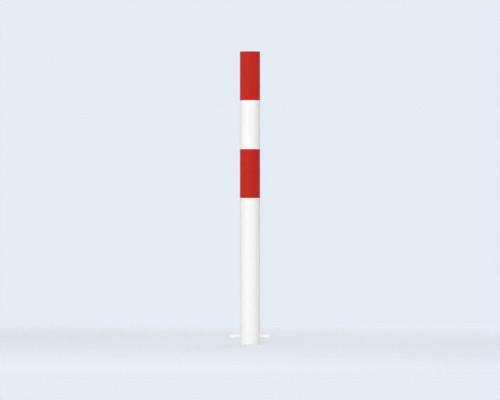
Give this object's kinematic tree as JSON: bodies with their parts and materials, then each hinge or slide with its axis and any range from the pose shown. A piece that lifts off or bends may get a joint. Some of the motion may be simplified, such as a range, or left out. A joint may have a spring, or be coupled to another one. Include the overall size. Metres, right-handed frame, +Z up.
{
  "type": "cast-in chain post",
  "caption": "Round steel barrier post with red reflective bands and a welded chain eye; its open foot, crossed by an anchor rod, is cast into concrete.",
  "frame": {"origin": "on the tube's axis at the finished ground level, where the concrete ends", "axes": "+Z up along the tube; X along the anchor rod; -Y is the front of the post and +Y points out of the chain eye"},
  "size_m": [0.1606, 0.1188, 1.2],
  "materials": {
    "white_coating": "satin white powder coat over galvanised steel",
    "red_film": "smooth red reflective film",
    "red_cap_plastic": "fine-grained moulded red plastic"
  },
  "bodies": {
    "root": {"post_tube": "white_coating", "top_cap": "red_cap_plastic", "upper_red_band": "red_film", "lower_red_band": "red_film", "anchor_rod": "white_coating", "anchor_weld_left": "white_coating", "anchor_weld_right": "white_coating", "chain_eye": "white_coating", "chain_eye_weld_upper": "white_coating", "chain_eye_weld_lower": "white_coating"}
  },
  "joints": []
}
